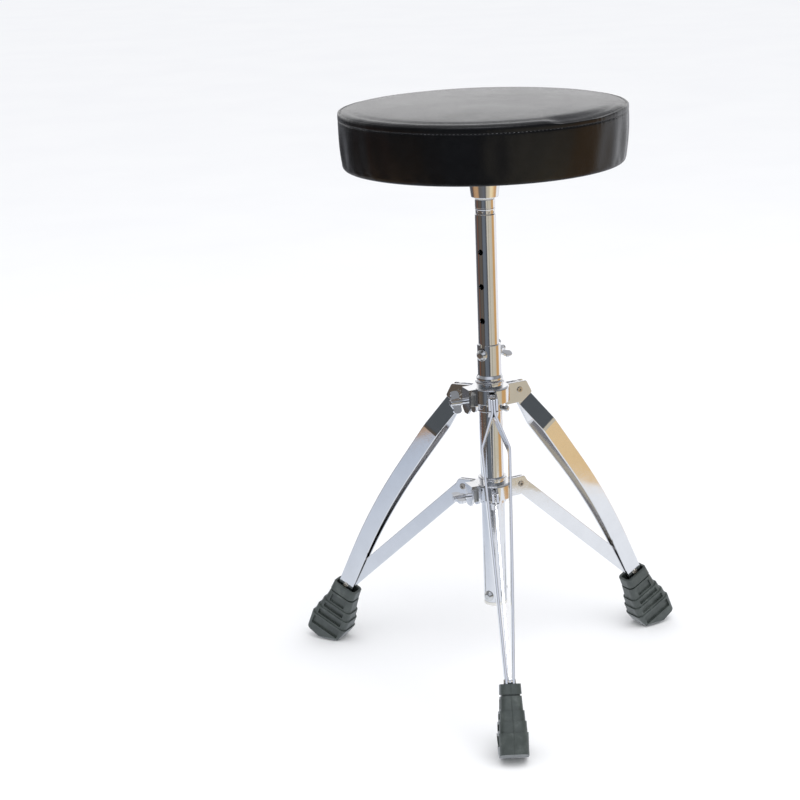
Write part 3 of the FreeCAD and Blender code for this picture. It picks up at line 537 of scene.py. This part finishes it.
def stitches(points, profile):
    """A row of short thread stitches that lie in the groove below the rim."""
    around = points[nearest_ring(profile, STITCH_Z)]
    up = Vector((0, 0, 1))
    last = STITCH_RINGS - 1
    vertices, faces = [], []
    for s in range(STITCHES):
        for step in range(STITCH_RINGS):
            t = (s + 0.10 + 0.80 * step / last) / STITCHES * AROUND
            j, part = int(t) % AROUND, t - int(t)
            middle = Vector(around[j] * (1 - part) + around[(j + 1) % AROUND] * part)
            outward = Vector((middle.x, middle.y, 0)).normalized()
            arch = sin(pi * step / last)
            radius = (0.12 + 0.22 * arch) * MM
            centre = middle + outward * (-0.10 + 0.38 * arch) * MM
            for q in range(STITCH_SIDES):
                a = q * tau / STITCH_SIDES
                vertices.append(centre + (outward * cos(a) + up * sin(a)) * radius)
        first = s * STITCH_RINGS * STITCH_SIDES
        for step in range(last):
            low = first + step * STITCH_SIDES
            high = low + STITCH_SIDES
            for q in range(STITCH_SIDES):
                p = (q + 1) % STITCH_SIDES
                faces.append((low + q, low + p, high + p, high + q))
        faces.append(tuple(first + q for q in reversed(range(STITCH_SIDES))))
        faces.append(tuple(first + last * STITCH_SIDES + q for q in range(STITCH_SIDES)))
    return add_mesh("seat_stitches", vertices, faces, thread)


seat_cushion, seat_points, seat_shape = cushion()
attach(seat_cushion, "seat")
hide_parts("seat_cover", "seat_foam")
seat_stitches = stitches(seat_points, seat_shape)
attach(seat_stitches, "seat")


# --- studio -----------------------------------------------------------------------------
FLOOR_HALF = 40.0
PAPER_LEFT, PAPER_RIGHT, PAPER_NEAR, PAPER_FAR = -0.69, 0.56, -0.45, 1.00
LAMP_SIZE = 2.4
LAMP_WATTS = 26.0
LAMP_PLACE = (0.5, -0.9, 2.4)
LAMP_AIM = Vector((0, 0, 0.3))
SENSOR_MM = 36.0
LENS_MM = 84.2085
CAMERA_PLACE = (-0.119422, -1.936220, 0.892700)
CAMERA_RIGHT = Vector((0.99892851, -0.02316636, -0.04006437))
CAMERA_UP = Vector((0.04499405, 0.28348833, 0.95791957))
CAMERA_FORWARD = Vector((0.01083372, 0.95869583, -0.28422692))
MIX_A, MIX_B, MIX_RESULT = 6, 7, 2    # colour sockets of a Mix node

# colours round the room by degrees: 0 is towards the camera, and +90 is to its right
ROOM_STRIPES = [
    (-180, (0.22, 0.22, 0.24)), (-158, (0.30, 0.31, 0.34)), (-146, (0.12, 0.12, 0.13)),
    (-128, (0.10, 0.10, 0.11)), (-116, (0.09, 0.085, 0.08)), (-108, (0.17, 0.075, 0.05)),
    (-99, (0.16, 0.08, 0.055)), (-92, (0.08, 0.075, 0.07)), (-70, (0.12, 0.10, 0.085)),
    (-52, (0.10, 0.085, 0.07)), (-44, (0.07, 0.075, 0.085)), (-36, (0.15, 0.17, 0.20)),
    (-10, (0.13, 0.15, 0.18)), (-2, (0.07, 0.075, 0.085)), (4, (0.10, 0.10, 0.11)),
    (9, (0.62, 0.58, 0.49)), (22, (0.58, 0.54, 0.45)), (27, (0.33, 0.29, 0.22)),
    (32, (0.60, 0.56, 0.46)), (66, (0.56, 0.51, 0.41)), (72, (0.60, 0.36, 0.15)),
    (98, (0.62, 0.37, 0.16)), (104, (0.80, 0.66, 0.50)), (110, (0.95, 0.96, 1.0)),
    (158, (0.85, 0.86, 0.90)), (168, (0.22, 0.22, 0.24)), (180, (0.22, 0.22, 0.24))]
PAPER_EDGE = [
    (-180, (0.62, 0.62, 0.66)), (-120, (0.50, 0.48, 0.47)), (-104, (0.52, 0.33, 0.18)),
    (-62, (0.50, 0.31, 0.17)), (-50, (0.13, 0.12, 0.11)), (-10, (0.14, 0.15, 0.17)),
    (4, (0.10, 0.10, 0.11)), (11, (0.50, 0.46, 0.38)), (34, (0.60, 0.52, 0.38)),
    (46, (0.90, 0.76, 0.50)), (62, (0.90, 0.72, 0.42)), (84, (0.66, 0.38, 0.18)),
    (104, (0.50, 0.36, 0.24)), (116, (0.80, 0.80, 0.83)), (180, (0.62, 0.62, 0.66))]
UPPER_ROOM = [
    (-180, (1.12, 1.12, 1.13)), (-140, (1.0, 1.0, 1.02)), (-112, (0.30, 0.31, 0.33)),
    (-80, (0.085, 0.095, 0.105)), (80, (0.085, 0.095, 0.105)), (112, (0.30, 0.31, 0.33)),
    (140, (1.0, 1.0, 1.02)), (180, (1.12, 1.12, 1.13))]
CEILING = [
    (-180, (0.55, 0.56, 0.59)), (-100, (0.30, 0.31, 0.33)), (-60, (0.22, 0.23, 0.25)),
    (-24, (0.58, 0.62, 0.72)), (12, (0.70, 0.74, 0.84)), (40, (0.24, 0.25, 0.27)),
    (100, (0.34, 0.35, 0.37)), (180, (0.55, 0.56, 0.59))]
LAMPS = [
    (-180, (0.9, 0.92, 0.96)), (-100, (0.7, 0.72, 0.75)), (-60, (3.0, 3.1, 3.2)),
    (0, (7.0, 7.1, 7.3)), (45, (3.0, 3.1, 3.2)), (100, (0.7, 0.72, 0.75)),
    (180, (0.9, 0.92, 0.96))]
# from low to high: the colours that take over, and the heights of view where they begin and end
BANDS = [(ROOM_STRIPES, -0.345, -0.325), (UPPER_ROOM, -0.03, 0.03), (CEILING, 0.30, 0.40),
         (LAMPS, 0.90, 0.95)]
# across the sheet of paper under the throne, left to right
PAPER = [
    (0.0, (0.50, 0.56, 0.67)), (0.24, (0.66, 0.71, 0.80)), (0.45, (0.80, 0.84, 0.91)),
    (1.0, (0.90, 0.93, 0.98))]


def level_sheet(name, left, right, near, far, height, material):
    mesh = bpy.data.meshes.new(name)
    corners = [(left, near, height), (right, near, height), (right, far, height), (left, far, height)]
    mesh.from_pydata(corners, [], [(0, 1, 2, 3)])
    mesh.materials.append(material)
    made = bpy.data.objects.new(name, mesh)
    bpy.context.scene.collection.objects.link(made)
    return made


def white_floor():
    made = Finish("white_floor")
    tone = made.noise(3.0)
    made.set(base_color=made.tint(tone, [(0.3, (0.93, 0.93, 0.94)), (0.7, (0.95, 0.95, 0.955))]),
             roughness=0.9, specular_ior_level=0.0)
    floor = level_sheet("floor", -FLOOR_HALF, FLOOR_HALF, -FLOOR_HALF, FLOOR_HALF, 0.0, made.material)
    floor.visible_glossy = False


def lit_paper():
    """A sheet under the throne that only reflections see."""
    made = Finish("lit_paper")
    across = made.node("SeparateXYZ", {0: made.place}).outputs["X"]
    share = made.between(across, 0.0, 1.0, PAPER_LEFT, PAPER_RIGHT, smooth=False)
    made.set(base_color=(0.0, 0.0, 0.0, 1.0), specular_ior_level=0.0, roughness=1.0,
             emission_color=made.tint(share, PAPER), emission_strength=1.0)
    paper = level_sheet("paper", PAPER_LEFT, PAPER_RIGHT, PAPER_NEAR, PAPER_FAR, 0.5 * MM, made.material)
    paper.visible_camera = False
    paper.visible_diffuse = False
    paper.visible_shadow = False


def overhead_lamp():
    lamp = bpy.data.lights.new("overhead", "AREA")
    lamp.shape = "DISK"
    lamp.size = LAMP_SIZE
    lamp.energy = LAMP_WATTS
    overhead = bpy.data.objects.new("overhead", lamp)
    overhead.location = LAMP_PLACE
    aim = LAMP_AIM - Vector(LAMP_PLACE)
    overhead.rotation_euler = aim.to_track_quat("-Z", "Y").to_euler()
    bpy.context.scene.collection.objects.link(overhead)
    overhead.visible_glossy = False   # the world's own lamps are what chrome reflects


def surroundings():
    """White light for dull surfaces, and for glossy ones a room seen past a sheet of white paper."""
    world = bpy.data.worlds.new("studio")
    bpy.context.scene.world = world
    world.use_nodes = True
    tree = world.node_tree
    tree.nodes.clear()

    node = partial(add_node, tree)
    axes = node("SeparateXYZ", {0: node("TexCoord").outputs["Generated"]})
    back = node("Math", {0: axes.outputs["Y"], 1: -1.0}, operation="MULTIPLY").outputs[0]
    angle = node("Math", {0: axes.outputs["X"], 1: back}, operation="ARCTAN2").outputs[0]
    turn = node("Math", {0: angle, 1: 1 / tau, 2: 0.5}, operation="MULTIPLY_ADD").outputs[0]
    height = axes.outputs["Z"]

    def band(stops):
        ramp = node("ValToRGB", {"Fac": turn})
        set_stops(ramp.color_ramp, [(degrees / 360.0 + 0.5, color) for degrees, color in stops])
        return ramp.outputs["Color"]

    color = band(PAPER_EDGE)
    for stops, low, high in BANDS:
        share = node("MapRange", {"Value": height, "From Min": low, "From Max": high},
                     interpolation_type="SMOOTHSTEP").outputs["Result"]
        mix = node("Mix", {"Factor": share}, data_type="RGBA")
        tree.links.new(color, mix.inputs[MIX_A])
        tree.links.new(band(stops), mix.inputs[MIX_B])
        color = mix.outputs[MIX_RESULT]

    rays = node("LightPath")
    white = node("Background", {"Color": (0.97, 0.98, 1.0, 1.0), "Strength": 1.0})
    room = node("Background", {"Color": color, "Strength": 1.0})
    seen = node("MixShader", {0: rays.outputs["Is Glossy Ray"], 1: white.outputs[0], 2: room.outputs[0]})
    output = node("OutputWorld")
    tree.links.new(seen.outputs[0], output.inputs["Surface"])


def camera():
    """From in front and a little to the left, looking down 16.5 degrees."""
    data = bpy.data.cameras.new("camera")
    data.lens = LENS_MM
    data.sensor_width = SENSOR_MM
    made = bpy.data.objects.new("camera", data)
    turned = Matrix((CAMERA_RIGHT, CAMERA_UP, -CAMERA_FORWARD)).transposed()
    made.matrix_world = Matrix.Translation(CAMERA_PLACE) @ turned.to_4x4()
    bpy.context.scene.collection.objects.link(made)
    bpy.context.scene.camera = made


white_floor()
lit_paper()
overhead_lamp()
surroundings()
camera()
bpy.context.scene.view_settings.view_transform = "Standard"
